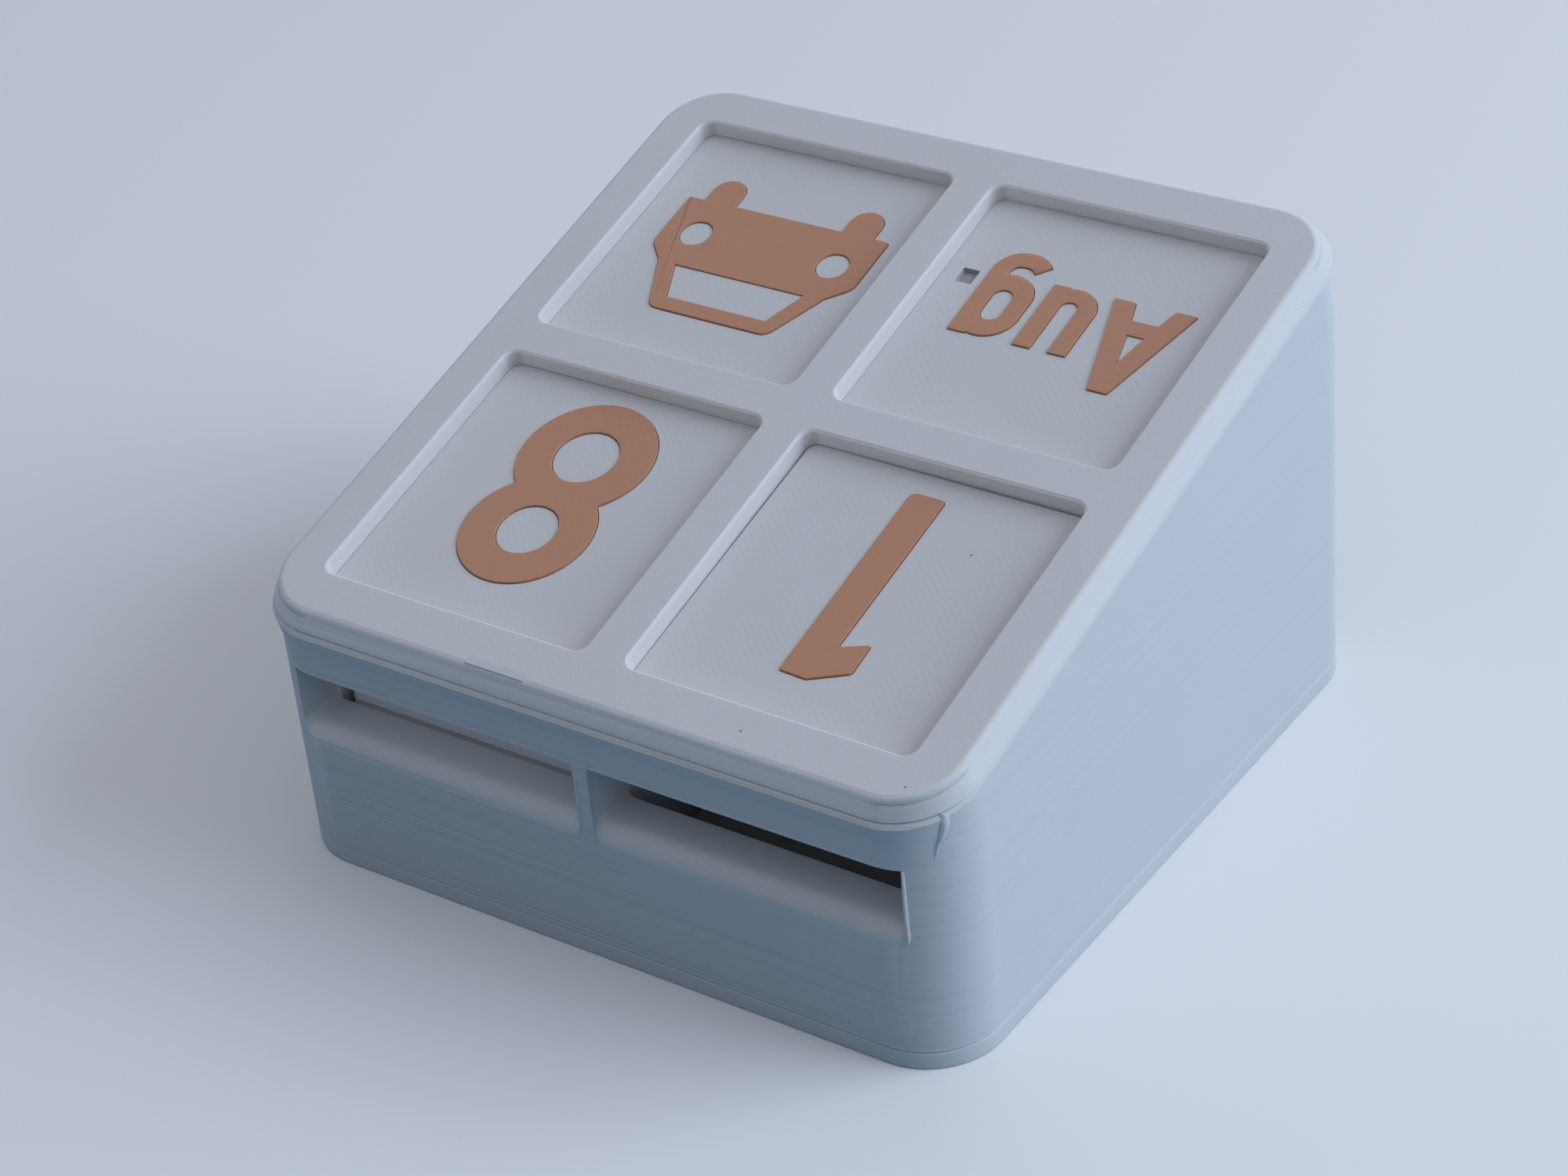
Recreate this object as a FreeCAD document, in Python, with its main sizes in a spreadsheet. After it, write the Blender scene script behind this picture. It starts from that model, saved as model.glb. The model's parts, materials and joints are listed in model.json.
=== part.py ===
import FreeCAD, Part

import math
import os

import Sketcher
from FreeCAD import Placement, Rotation, Vector

# Perpetual tile calendar lying on its back: a wedge housing with a windowed front
# frame on its slope, four loose tiles in the windows, two tile shafts open at the
# low end, and a drawer of spare tiles that leaves through the left side.
# Millimetres, +Z up, X along the low end, +Y towards the tall end, which is the end
# that the calendar stands on in use. The origin is under the middle of the outline.

SIZES = [
    ("slope", 15.0, "lean of the front, degrees"),
    ("corner", 9.5, "corner radius of the housing"),
    ("tile_width", 39.0, "tile, across"),
    ("tile_length", 40.6, "tile, along"),
    ("tile_thick", 2.4, "tile"),
    ("tile_corner", 1.5, "tile corner radius"),
    ("tile_play", 0.25, "window edge to tile edge"),
    ("tile_rest", 0.1, "tile above the window pocket's floor"),
    ("tile_sunk", 2.4, "tile face below the front"),
    ("tile_settled", 0.15, "shown tiles towards the left and high sides of their windows"),
    ("tens_shift", 0.05, "tens tile towards the same sides"),
    ("tens_turn", 0.4, "tens tile turned in its window, degrees"),
    ("grid", 1.0, "one step of the grid that the figures are drawn on"),
    ("inlay_deep", 0.8, "inlay let into the tile"),
    ("inlay_proud", 0.2, "inlay above the tile face"),
    ("dot_width", 2.4, "square dot pocket in the month tile"),
    ("dot_deep", 0.4, "dot pocket, depth"),
    ("dot_across", 16.0, "dot pocket from the tile's middle, across"),
    ("dot_up", 6.0, "dot pocket from the tile's middle, up the slope"),
    ("window_corner", 1.7, "window corner radius"),
    ("window_bevel", 0.3, "bevel round a window"),
    ("bar_across", 5.9, "bar between left and right windows"),
    ("bar_along", 5.8, "bar between low and high windows"),
    ("border_side", 7.55, "side of the housing to the windows"),
    ("border_low", 6.8, "low end to the windows, along the slope"),
    ("border_high", 6.5, "windows to the high end, along the slope"),
    ("shoulder", 11.0, "front to the foot of the squared high end"),
    ("deck_lead", 1.7, "squared low end ahead of the upright face"),
    ("deck_thick", 6.0, "squared low end, through the slope"),
    ("seam_bevel", 0.4, "bevel on the housing under the frame"),
    ("frame_thick", 2.8, "front frame"),
    ("frame_side", 0.05, "housing's side past the frame's foot"),
    ("frame_low", 0.6, "housing's low end past the frame's foot"),
    ("frame_high", 1.3, "frame's foot past the housing's high end"),
    ("frame_relief", 0.25, "bevel round the frame's foot, which leaves a seam line"),
    ("frame_lip", 0.9, "square rim along the frame's front"),
    ("frame_flare", 1.5, "frame's foot past its front"),
    ("frame_undercut", 0.3, "rim past the flare below it"),
    ("stack", 3, "tiles that slide out over the ledge of a full shaft"),
    ("low_tiles", 5, "tiles that a shaft takes below its ledge"),
    ("right_tiles", 2, "tiles in the right shaft"),
    ("stack_gap", 0.3, "gap above and below a stacked tile"),
    ("divider", 2.2, "rib between the shafts"),
    ("divider_gap", 2.3, "rib to the stacked tiles"),
    ("shaft_side_gap", 1.0, "stacked tiles to the outer side of a shaft"),
    ("shaft_play", 0.5, "free length behind the stacked tiles"),
    ("mouth_step", 0.7, "shaft mouth past the shaft, across"),
    ("mouth_round", 1.2, "rounding between a mouth's sides and its ledge"),
    ("ledge_high", 20.0, "ledge of the mouths, over the shafts' floor"),
    ("ledge_deep", 7.0, "low face to the shafts"),
    ("ledge_round", 2.6, "rounding of the ledge's outer edge"),
    ("tile_back", 0.3, "stacked tile behind the mouth"),
    ("partition", 1.5, "wall between shafts and drawer bay"),
    ("roof", 2.3, "wall between drawer bay and window pockets"),
    ("bay_wall", 5.0, "wall at the drawer bay's closed end"),
    ("overcut", 1.0, "cutting forms past the face that they open"),
    ("drawer_gap", 0.25, "running gap round the drawer"),
    ("drawer_back_gap", 1.5, "free length behind the drawer"),
    ("drawer_wall", 1.2, "drawer sides"),
    ("drawer_floor", 1.4, "drawer floor and back"),
    ("drawer_front", 3.0, "drawer front"),
    ("drawer_recess", 0.3, "drawer front behind the housing's side"),
    ("drawer_corner", 0.8, "drawer corner radius"),
    ("drawer_play", 0.4, "play round the tiles in the drawer"),
    ("pull_across", 22.0, "finger notch, across"),
    ("pull_deep", 8.0, "finger notch, depth"),
    ("spare_tiles", 10, "tiles in the drawer"),
    ("spare_slack", 0.15, "slack between tiles in the drawer"),
    ("cover_thick", 2.4, "back cover"),
    ("cover_bevel", 0.15, "bevels along the cover's seam and foot"),
    ("peg_width", 3.6, "cover peg, across"),
    ("peg_tall", 4.0, "cover peg, length"),
    ("peg_end_gap", 0.5, "free length past a cover peg"),
    ("peg_fit", 0.1, "gap round a cover peg"),
    ("peg_side", 12.0, "side of the housing to a peg"),
    ("peg_low", 4.0, "low face to a peg"),
]

FORMULAS = [
    ("window_width", "sizes.tile_width + 2 * sizes.tile_play"),
    ("window_length", "sizes.tile_length + 2 * sizes.tile_play"),
    ("pocket_deep", "sizes.tile_sunk + sizes.tile_thick + sizes.tile_rest"),
    ("width", "2 * window_width + sizes.bar_across + 2 * sizes.border_side"),
    ("column", "(window_width + sizes.bar_across) / 2"),
    ("row_low", "sizes.border_low + window_length / 2"),
    ("row_high", "row_low + window_length + sizes.bar_along"),
    ("deck_high", "row_high + window_length / 2 + sizes.border_high"),
    ("rise", "sin(sizes.slope * 1deg)"),
    ("run", "cos(sizes.slope * 1deg)"),
    ("depth", "deck_high * run + sizes.shoulder * rise"),
    ("near", "(sizes.deck_lead * run - (sizes.frame_thick + sizes.seam_bevel) * rise - depth) / 2"),
    ("shaft_width", "sizes.divider_gap + sizes.tile_width + sizes.shaft_side_gap"),
    ("mouth_width", "shaft_width + sizes.mouth_step"),
    ("stack_pitch", "sizes.tile_thick + sizes.stack_gap"),
    ("shaft_floor", "sizes.ledge_high - sizes.low_tiles * stack_pitch"),
    ("shaft_top", "sizes.ledge_high + sizes.stack * stack_pitch + sizes.stack_gap"),
    ("shaft_end", "sizes.ledge_deep + sizes.tile_length + sizes.shaft_play"),
    ("bay_start", "shaft_end + sizes.partition"),
    ("drawer_deep", "sizes.tile_length + sizes.drawer_play + sizes.drawer_floor"),
    ("bay_end", "bay_start + drawer_deep + 2 * sizes.drawer_gap"),
    ("drawer_tall", "sizes.tile_width + sizes.drawer_play + 2 * sizes.drawer_wall"),
    ("bay_top", "sizes.cover_thick + drawer_tall + 2 * sizes.drawer_gap"),
    ("low_height", "bay_top + sizes.roof + pocket_deep * run - (row_high - window_length / 2) * rise"),
    ("tall", "low_height + depth * rise / run"),
]

doc = FreeCAD.newDocument("tile_calendar")
sizes = doc.addObject("Spreadsheet::Sheet", "sizes")
for row, (alias, value, note) in enumerate(SIZES, start=1):
    sizes.set("A%d" % row, note)
    sizes.set("B%d" % row, str(value))
    sizes.setAlias("B%d" % row, alias)
derived = doc.addObject("Spreadsheet::Sheet", "derived")
for row, (alias, formula) in enumerate(FORMULAS, start=1):
    derived.set("B%d" % row, "=" + formula)
    derived.setAlias("B%d" % row, alias)
doc.recompute()


def number(expression):
    """The value of an expression over the two sheets."""
    value = sizes.evalExpression(expression)
    return float(getattr(value, "Value", value))


# Two working frames: upright, from the foot of the low face, and on the front,
# where X stays, Y runs up the slope from the low face and Z stands off the front.
UPRIGHT = Placement(Vector(0, number("derived.near"), 0), Rotation())
FRONT = Placement(
    Vector(0, number("derived.near"), number("derived.low_height")),
    Rotation(Vector(1, 0, 0), number("sizes.slope")),
)
nodes = {}


def node(name, thing):
    thing.Label = name
    nodes[name] = thing
    return thing


def new_body(name, frame=UPRIGHT):
    body = doc.addObject("PartDesign::Body", name)
    body.Placement = frame
    return body


def new_sketch(body, role="XY_Plane", offset=("0", "0", "0")):
    """A sketch on one of the body's own planes, moved by three expressions."""
    sketch = body.newObject("Sketcher::SketchObject", body.Name + "_sketch")
    plane = next(item for item in body.Origin.OriginFeatures if item.Role == role)
    sketch.AttachmentSupport = [(plane, "")]
    sketch.MapMode = "FlatFace"
    for axis, expression in zip("xyz", offset):
        sketch.setExpression("AttachmentOffset.Base." + axis, expression)
    return sketch


def rounded(body, width, length, radius, offset=("0", "0", "0"), role="XY_Plane"):
    """A rounded rectangle about its own middle, with every size an expression."""
    sketch = new_sketch(body, role, offset)
    rad = number(radius)
    side = number(width) / 2
    end = number(length) / 2
    inner_side = side - rad
    inner_end = end - rad
    ends = [
        (Vector(-inner_side, -end), Vector(inner_side, -end)),
        (Vector(side, -inner_end), Vector(side, inner_end)),
        (Vector(inner_side, end), Vector(-inner_side, end)),
        (Vector(-side, inner_end), Vector(-side, -inner_end)),
    ]
    for first, last in ends:
        sketch.addGeometry(Part.LineSegment(first, last))
    corners = [(1, -1), (1, 1), (-1, 1), (-1, -1)]
    centres = [(x * inner_side, y * inner_end) for x, y in corners]
    for turn, (x, y) in enumerate(centres):
        circle = Part.Circle(Vector(x, y), Vector(0, 0, 1), rad)
        start = (turn - 1) * math.pi / 2
        sketch.addGeometry(Part.ArcOfCircle(circle, start, start + math.pi / 2))
    for line in range(4):
        arc = line + 4
        sketch.addConstraint(Sketcher.Constraint("Tangent", line, 2, arc, 1))
        sketch.addConstraint(Sketcher.Constraint("Tangent", arc, 2, (line + 1) % 4, 1))
        sketch.addConstraint(Sketcher.Constraint("Vertical" if line % 2 else "Horizontal", line))
    for arc in (5, 6, 7):
        sketch.addConstraint(Sketcher.Constraint("Equal", 4, arc))
    sketch.addConstraint(Sketcher.Constraint("Symmetric", 4, 3, 6, 3, -1, 1))
    sizes_of = [
        (Sketcher.Constraint("Radius", 4, rad), radius),
        (Sketcher.Constraint("DistanceX", 3, 1, 1, 2, 2 * side), width),
        (Sketcher.Constraint("DistanceY", 0, 1, 2, 2, 2 * end), length),
    ]
    for constraint, expression in sizes_of:
        index = sketch.addConstraint(constraint)
        sketch.setExpression("Constraints[%d]" % index, expression)
    return sketch


def traced(body, path, role="XY_Plane", offset=("0", "0", "0")):
    """A closed outline: (x, y) ends a line, (x, y, end_x, end_y) an arc through x, y."""
    sketch = new_sketch(body, role, offset)
    here = Vector(*path[-1][-2:])
    for step in path:
        there = Vector(*step[-2:])
        if len(step) == 4:
            sketch.addGeometry(Part.Arc(here, Vector(*step[:2]), there))
        else:
            sketch.addGeometry(Part.LineSegment(here, there))
        here = there
    return sketch


def feature(body, kind, sketch, length, down=False):
    """A Pad or Pocket of the sketch, with its length an expression."""
    item = body.newObject("PartDesign::" + kind, body.Name + "_" + kind.lower())
    item.Profile = sketch
    item.Reversed = down
    item.setExpression("Length", length)
    sketch.Visibility = False
    return item


def bevel(body, base, size, plane_z):
    """Bevel every edge of the base that lies at one height in the body's frame."""
    doc.recompute()
    level = number(plane_z)
    edges = [
        "Edge%d" % index
        for index, edge in enumerate(base.Shape.Edges, start=1)
        if abs(edge.BoundBox.ZMin - level) < 1e-5 and abs(edge.BoundBox.ZMax - level) < 1e-5
    ]
    item = body.newObject("PartDesign::Chamfer", body.Name + "_bevel")
    item.Base = (base, edges)
    item.setExpression("Size", size)
    return item


def box(name, corner, span):
    """A box in the upright frame, from six expressions."""
    item = doc.addObject("Part::Box", name)
    for axis, expression in zip(("Length", "Width", "Height"), span):
        item.setExpression(axis, expression)
    item.setExpression("Placement.Base.x", corner[0])
    item.setExpression("Placement.Base.y", "derived.near + " + corner[1])
    item.setExpression("Placement.Base.z", corner[2])
    return item


def rod(name, centre, radius, length, axis=None):
    """A cylinder in the upright frame, along +Z or turned to another axis."""
    item = doc.addObject("Part::Cylinder", name)
    if axis:
        item.Placement = Placement(Vector(), Rotation(Vector(0, 0, 1), axis))
    item.setExpression("Radius", radius)
    item.setExpression("Height", length)
    item.setExpression("Placement.Base.x", centre[0])
    item.setExpression("Placement.Base.y", "derived.near + " + centre[1])
    item.setExpression("Placement.Base.z", centre[2])
    return item


def join(name, things):
    item = doc.addObject("Part::MultiFuse", name)
    item.Shapes = things
    item.Refine = True
    return item


def cut(name, base, tool):
    item = doc.addObject("Part::Cut", name)
    item.Base = base
    item.Tool = tool
    item.Refine = True
    return item


def common(name, base, tool):
    item = doc.addObject("Part::Common", name)
    item.Base = base
    item.Tool = tool
    item.Refine = True
    return item


WINDOWS = {
    "units": ("-derived.column", "derived.row_low"),
    "tens": ("derived.column", "derived.row_low"),
    "symbol": ("-derived.column", "derived.row_high"),
    "month": ("derived.column", "derived.row_high"),
}


def window_void(name):
    """One window with the pocket below it, which holds a tile."""
    body = new_body(name + "_window", FRONT)
    floor = WINDOWS[name] + ("-derived.pocket_deep",)
    outline = rounded(body, "derived.window_width", "derived.window_length", "sizes.window_corner", floor)
    feature(body, "Pad", outline, "derived.pocket_deep + sizes.overcut")
    return body


windows = join("windows", [window_void(name) for name in WINDOWS])


def housing_form():
    """Upright block, squared off to the slope at its low and high ends."""
    block = new_body("block")
    foot = ("0", "derived.depth / 2", "sizes.cover_thick")
    outline = rounded(block, "derived.width", "derived.depth", "sizes.corner", foot)
    pad = feature(block, "Pad", outline, "derived.tall - sizes.cover_thick")
    bevel(block, pad, "sizes.cover_bevel", "sizes.cover_thick")

    limit = new_body("limit", FRONT)
    outline = rounded(
        limit,
        "derived.width",
        "derived.deck_high + derived.depth",
        "sizes.corner",
        ("0", "(derived.deck_high - derived.depth) / 2", "-sizes.frame_thick - sizes.seam_bevel"),
    )
    feature(limit, "Pad", outline, "derived.depth + derived.tall", down=True)

    deck = new_body("deck", FRONT)
    outline = rounded(
        deck,
        "derived.width",
        "derived.deck_high + sizes.deck_lead",
        "sizes.corner",
        ("0", "(derived.deck_high - sizes.deck_lead) / 2", "-sizes.frame_thick"),
    )
    pad = feature(deck, "Pad", outline, "sizes.deck_thick", down=True)
    bevel(deck, pad, "sizes.seam_bevel", "-sizes.frame_thick")
    return join("housing_form", [common("sloped_block", block, limit), deck])


def mouth(name, start):
    """Finger recess over a shaft's front wall, whose rounded top edge is the ledge."""
    body = new_body(name)
    rad = number("sizes.ledge_round")
    floor = number("sizes.ledge_high")
    top = number("derived.shaft_top")
    back = number("sizes.ledge_deep")
    ahead = -number("sizes.deck_lead + sizes.overcut")
    halfway = rad * math.sqrt(0.5)
    path = [
        (ahead, floor - 2 * rad),
        (0, floor - 2 * rad),
        (0, floor - rad),
        (rad - halfway, floor - rad + halfway, rad, floor),
        (back, floor),
        (back, top),
        (ahead, top),
    ]
    pad = feature(body, "Pad", traced(body, path, "YZ_Plane", ("0", "0", start)), "derived.mouth_width")
    doc.recompute()
    slack = number("sizes.overcut") / 100
    bounds = [(index, edge.BoundBox) for index, edge in enumerate(pad.Shape.Edges, start=1)]
    sides = [
        "Edge%d" % index
        for index, span in bounds
        if span.XLength < slack and span.YMin > -slack and span.ZMax < floor + slack
    ]
    item = body.newObject("PartDesign::Fillet", name + "_round")
    item.Base = (pad, sides)
    item.setExpression("Radius", "sizes.mouth_round")
    return body


def shaft(name, start):
    """Well for a stack of tiles, from below the ledge to the mouth's top."""
    return box(
        name,
        (start, "sizes.ledge_deep", "derived.shaft_floor"),
        (
            "derived.shaft_width",
            "derived.shaft_end - sizes.ledge_deep",
            "derived.shaft_top - derived.shaft_floor",
        ),
    )


def pegs(name, width, length):
    """Four square pegs near the cover's corners, or their sockets."""
    side = "(derived.width / 2 - sizes.peg_side)"
    high = "(derived.bay_end + derived.depth) / 2"
    half = " - (%s) / 2" % width
    places = [(sign + side, along) for along in ("sizes.peg_low", high) for sign in ("-", "")]
    posts = [
        box("%s_%d" % (name, index), (x + half, y + half, "sizes.cover_thick"), (width, width, length))
        for index, (x, y) in enumerate(places, start=1)
    ]
    return join(name, posts)


def housing():
    bay_long = "derived.width - sizes.bay_wall + sizes.overcut"
    bay = box(
        "drawer_bay",
        ("-derived.width / 2 - sizes.overcut", "derived.bay_start", "0"),
        (bay_long, "derived.bay_end - derived.bay_start", "derived.bay_top"),
    )
    voids = [
        windows,
        mouth("left_mouth", "-sizes.divider / 2 - derived.mouth_width"),
        mouth("right_mouth", "sizes.divider / 2"),
        shaft("left_shaft", "-sizes.divider / 2 - derived.shaft_width"),
        shaft("right_shaft", "sizes.divider / 2"),
        bay,
        pegs("sockets", "sizes.peg_width + 2 * sizes.peg_fit", "sizes.peg_tall + sizes.peg_end_gap"),
    ]
    node("housing", cut("housing", housing_form(), join("housing_voids", voids)))


def front_frame():
    """Flared foot with a relieved edge, a thin square rim over it, and four bevelled windows."""
    body = new_body("frame_form", FRONT)
    foot_length = "(derived.deck_high + sizes.frame_high + sizes.deck_lead - sizes.frame_low)"
    foot_width = "(derived.width - 2 * sizes.frame_side)"
    foot_corner = "(sizes.corner - sizes.frame_side)"
    middle = "(derived.deck_high + sizes.frame_high - sizes.deck_lead + sizes.frame_low) / 2"

    def outline(inset, level):
        return rounded(
            body,
            "%s - 2 * (%s)" % (foot_width, inset),
            "%s - 2 * (%s)" % (foot_length, inset),
            "%s - (%s)" % (foot_corner, inset),
            ("0", middle, level),
        )

    flare = body.newObject("PartDesign::AdditiveLoft", "frame_flare")
    flare.Ruled = True
    flare.Profile = outline("sizes.frame_relief", "-sizes.frame_thick")
    flare.Sections = [
        outline("0", "-sizes.frame_thick + sizes.frame_relief"),
        outline("sizes.frame_flare + sizes.frame_undercut", "-sizes.frame_lip"),
    ]
    feature(body, "Pad", outline("sizes.frame_flare", "-sizes.frame_lip"), "sizes.frame_lip")
    pierced = cut("frame_pierced", body, windows)
    doc.recompute()
    rim = bevelled_windows(pierced)
    node("front_frame", rim)


def bevelled_windows(frame):
    """Bevel the window edges in the frame's front face, but not its outer rim."""
    inverse = FRONT.inverse()
    outer = number("derived.width / 2 - sizes.border_side / 2")
    low = number("sizes.border_low / 2")
    high = number("derived.deck_high - sizes.border_high / 2")
    size = number("sizes.window_bevel")
    edges = []
    for index, edge in enumerate(frame.Shape.Edges, start=1):
        points = [inverse.multVec(vertex.Point) for vertex in edge.Vertexes]
        in_front = all(abs(point.z) < 1e-4 for point in points)
        inside = all(abs(point.x) < outer and low < point.y < high for point in points)
        if in_front and inside:
            edges.append((index, size, size))
    item = doc.addObject("Part::Chamfer", "front_frame")
    item.Base = frame
    item.Edges = edges
    return item


def back_cover():
    body = new_body("cover_plate")
    outline = rounded(body, "derived.width", "derived.depth", "sizes.corner", ("0", "derived.depth / 2", "0"))
    pad = feature(body, "Pad", outline, "sizes.cover_thick")
    seam = bevel(body, pad, "sizes.cover_bevel", "sizes.cover_thick")
    bevel(body, seam, "sizes.cover_bevel", "0")
    plugs = pegs("cover_pegs", "sizes.peg_width", "sizes.peg_tall")
    node("back_cover", join("back_cover", [body, plugs]))


def drawer():
    """Card-index drawer: open towards the low end, which is up when the calendar stands."""
    body = new_body("drawer_block")
    length = "(derived.width - sizes.drawer_recess - sizes.bay_wall - sizes.drawer_back_gap)"
    across = "(derived.bay_end - derived.bay_start - 2 * sizes.drawer_gap)"
    left = "(-derived.width / 2 + sizes.drawer_recess)"
    low = "(derived.bay_start + sizes.drawer_gap)"
    foot = "(sizes.cover_thick + sizes.drawer_gap)"
    outline = rounded(
        body,
        length,
        across,
        "sizes.drawer_corner",
        (left + " + " + length + " / 2", low + " + " + across + " / 2", foot),
    )
    feature(body, "Pad", outline, "derived.drawer_tall")
    inside = box(
        "drawer_inside",
        (left + " + sizes.drawer_front", low + " - sizes.overcut", foot + " + sizes.drawer_wall"),
        (
            length + " - sizes.drawer_front - sizes.drawer_floor",
            across + " + sizes.overcut - sizes.drawer_floor",
            "derived.drawer_tall - 2 * sizes.drawer_wall",
        ),
    )
    pull_radius = "(sizes.pull_across ^ 2 / 4 + sizes.pull_deep ^ 2) / (2 * sizes.pull_deep)"
    pull_low = low + " + sizes.pull_deep - " + pull_radius
    pull = rod(
        "drawer_pull",
        (left + " - sizes.overcut", pull_low, foot + " + derived.drawer_tall / 2"),
        pull_radius,
        "sizes.drawer_front + 2 * sizes.overcut",
        Vector(1, 0, 0),
    )
    node("drawer", cut("drawer", body, join("drawer_voids", [inside, pull])))


def tile_plate(name, frame):
    """Tile about its middle, with its underside at zero."""
    body = new_body(name, frame)
    outline = rounded(body, "sizes.tile_width", "sizes.tile_length", "sizes.tile_corner")
    feature(body, "Pad", outline, "sizes.tile_thick")
    return body


def circle(x, y, radius):
    """Outline of two half turns, for figures drawn on the grid."""
    return [(x, y + radius, x - radius, y), (x, y - radius, x + radius, y)]


def capsule(x, low, high, radius):
    """Upright capsule between two arc centres."""
    return [
        (x, high + radius, x - radius, high),
        (x - radius, low),
        (x, low - radius, x + radius, low),
        (x + radius, high),
    ]


def eased(corners):
    """Outline through corners (x, y, radius), each turned on a tangent arc of its radius."""
    path = []
    count = len(corners)
    for index, (x, y, radius) in enumerate(corners):
        here = Vector(x, y)
        back = Vector(*corners[index - 1][:2]) - here
        ahead = Vector(*corners[(index + 1) % count][:2]) - here
        half = back.getAngle(ahead) / 2
        back.normalize()
        ahead.normalize()
        start = here + back * (radius / math.tan(half))
        end = here + ahead * (radius / math.tan(half))
        inward = back + ahead
        inward.normalize()
        middle = here + inward * (radius / math.sin(half) - radius)
        path += [(start.x, start.y), (middle.x, middle.y, end.x, end.y)]
    return path


# Figures, in grid steps from the tile's middle, as they read with the calendar standing.
# Each is a list of filled outlines and a list of holes.
def figure_eight():
    across, low, high = 0.2, -8.6, 4.5
    filled = [circle(across, low, 9.3), circle(across, high, 9.0)]
    holes = [circle(across, low, 4.3), circle(across, high, 3.95)]
    return filled, holes


def figure_one():
    """Stem with rounded foot corners, and a flag."""
    stem_left, stem_right, foot = -1.8, 3.1, -17.1
    small_round, flag_round, foot_round = 0.3, 0.7, 1.1
    stem_and_flag = [
        (stem_right, 13.2, small_round),
        (-0.8, 13.35, small_round),
        (-5.55, 10.75, flag_round),
        (-5.4, 6.0, small_round),
        (stem_left, 7.6, small_round),
        (stem_left, foot, flag_round),
        (stem_right, foot, foot_round),
    ]
    return [eased(stem_and_flag)], []


def figure_four():
    """Diagonal from the stem's top to the crossbar, as one stroke with one opening."""
    stem = [(2, 15), (6, 15), (6, -3), (10, -3), (10, -7), (6, -7), (6, -15), (1, -15)]
    crossbar = [(1, -7), (-10, -7), (-10, -3)]
    return [stem + crossbar], [[(1, -3), (1, 7), (-5, -3)]]


def figure_vehicle():
    """Plain front view of a car: body, roof, two tyres, windscreen and two lamps."""
    middle = -0.8
    half_body = [(15.7, -8.3, 0.5), (15.7, 1.0, 2.0), (13.0, 3.7, 0.8), (9.15, 12.0, 1.8)]
    half_screen = [(10.0, 4.0), (7.7, 9.6)]
    tyre_out, tyre_low, tyre_high, tyre_radius = 10.8, -10.4, -6.0, 2.45
    lamp_out, lamp_up, lamp_radius = 10.7, -2.1, 2.2

    def mirrored(half):
        right = [(middle + point[0],) + point[1:] for point in half]
        left = [(middle - point[0],) + point[1:] for point in reversed(half)]
        return right + left

    tyres = [capsule(middle + side * tyre_out, tyre_low, tyre_high, tyre_radius) for side in (-1, 1)]
    lamps = [circle(middle + side * lamp_out, lamp_up, lamp_radius) for side in (-1, 1)]
    return [eased(mirrored(half_body))] + tyres, [mirrored(half_screen)] + lamps


def inlay(name, frame, figure):
    """One figure as a solid: let into the tile and a little proud of it."""
    filled, holes = figure
    body = new_body(name, frame)
    grid = number("sizes.grid")
    floor = ("0", "0", "sizes.tile_thick - sizes.inlay_deep")
    for path in filled:
        scaled = [tuple(-grid * value for value in step) for step in path]
        sketch = traced(body, scaled, offset=floor)
        feature(body, "Pad", sketch, "sizes.inlay_deep + sizes.inlay_proud")
    for path in holes:
        scaled = [tuple(-grid * value for value in step) for step in path]
        sketch = traced(body, scaled, offset=floor)
        feature(body, "Pocket", sketch, "sizes.inlay_deep + sizes.inlay_proud", down=True)
    return body


def figure_tile(name, frame, figure):
    """A tile node with a figure let into it, and the figure's own node."""
    figure_body = inlay(name + "_inlay_form", frame, figure)
    plate = tile_plate(name + "_plate", frame)
    node(name + "_tile", cut(name + "_tile", plate, figure_body))
    node(name + "_inlay", figure_body)


def dotted_tile(name, frame):
    """A tile whose only recess is a small square pocket, for a dot that isn't fitted."""
    pocket = new_body(name + "_dot", frame)
    spot = ("-sizes.dot_across", "sizes.dot_up", "sizes.tile_thick - sizes.dot_deep")
    sketch = new_sketch(pocket, offset=spot)
    half = number("sizes.dot_width / 2")
    corners = [Vector(-half, -half), Vector(half, -half), Vector(half, half), Vector(-half, half)]
    for first, last in zip(corners, corners[1:] + corners[:1]):
        sketch.addGeometry(Part.LineSegment(first, last))
    feature(pocket, "Pad", sketch, "sizes.dot_deep + sizes.overcut")
    node(name + "_tile", cut(name + "_tile", tile_plate(name + "_plate", frame), pocket))


def window_frame(name, aside="sizes.tile_settled", turn="0"):
    """Where a tile lies in its window, pushed towards its left and high sides."""
    x, y = WINDOWS[name]
    level = number("-sizes.tile_sunk - sizes.tile_thick")
    spot = Vector(number("%s - %s" % (x, aside)), number("%s + %s" % (y, aside)), level)
    return FRONT.multiply(Placement(spot, Rotation(Vector(0, 0, -1), number(turn))))


def display_tiles():
    figure_tile("tens", window_frame("tens", "sizes.tens_shift", "sizes.tens_turn"), figure_one())
    figure_tile("units", window_frame("units"), figure_eight())
    figure_tile("symbol", window_frame("symbol"), figure_vehicle())
    dotted_tile("month", window_frame("month"))


def shaft_frame(side, level):
    """Where a stacked tile lies, counting levels from the shaft's floor."""
    x = number("sizes.divider / 2 + sizes.divider_gap + sizes.tile_width / 2")
    y = number("sizes.ledge_deep + sizes.tile_back + sizes.tile_length / 2")
    z = number("derived.shaft_floor + sizes.stack_gap + %d * derived.stack_pitch" % level)
    return UPRIGHT.multiply(Placement(Vector(side * x, y, z), Rotation()))


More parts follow.
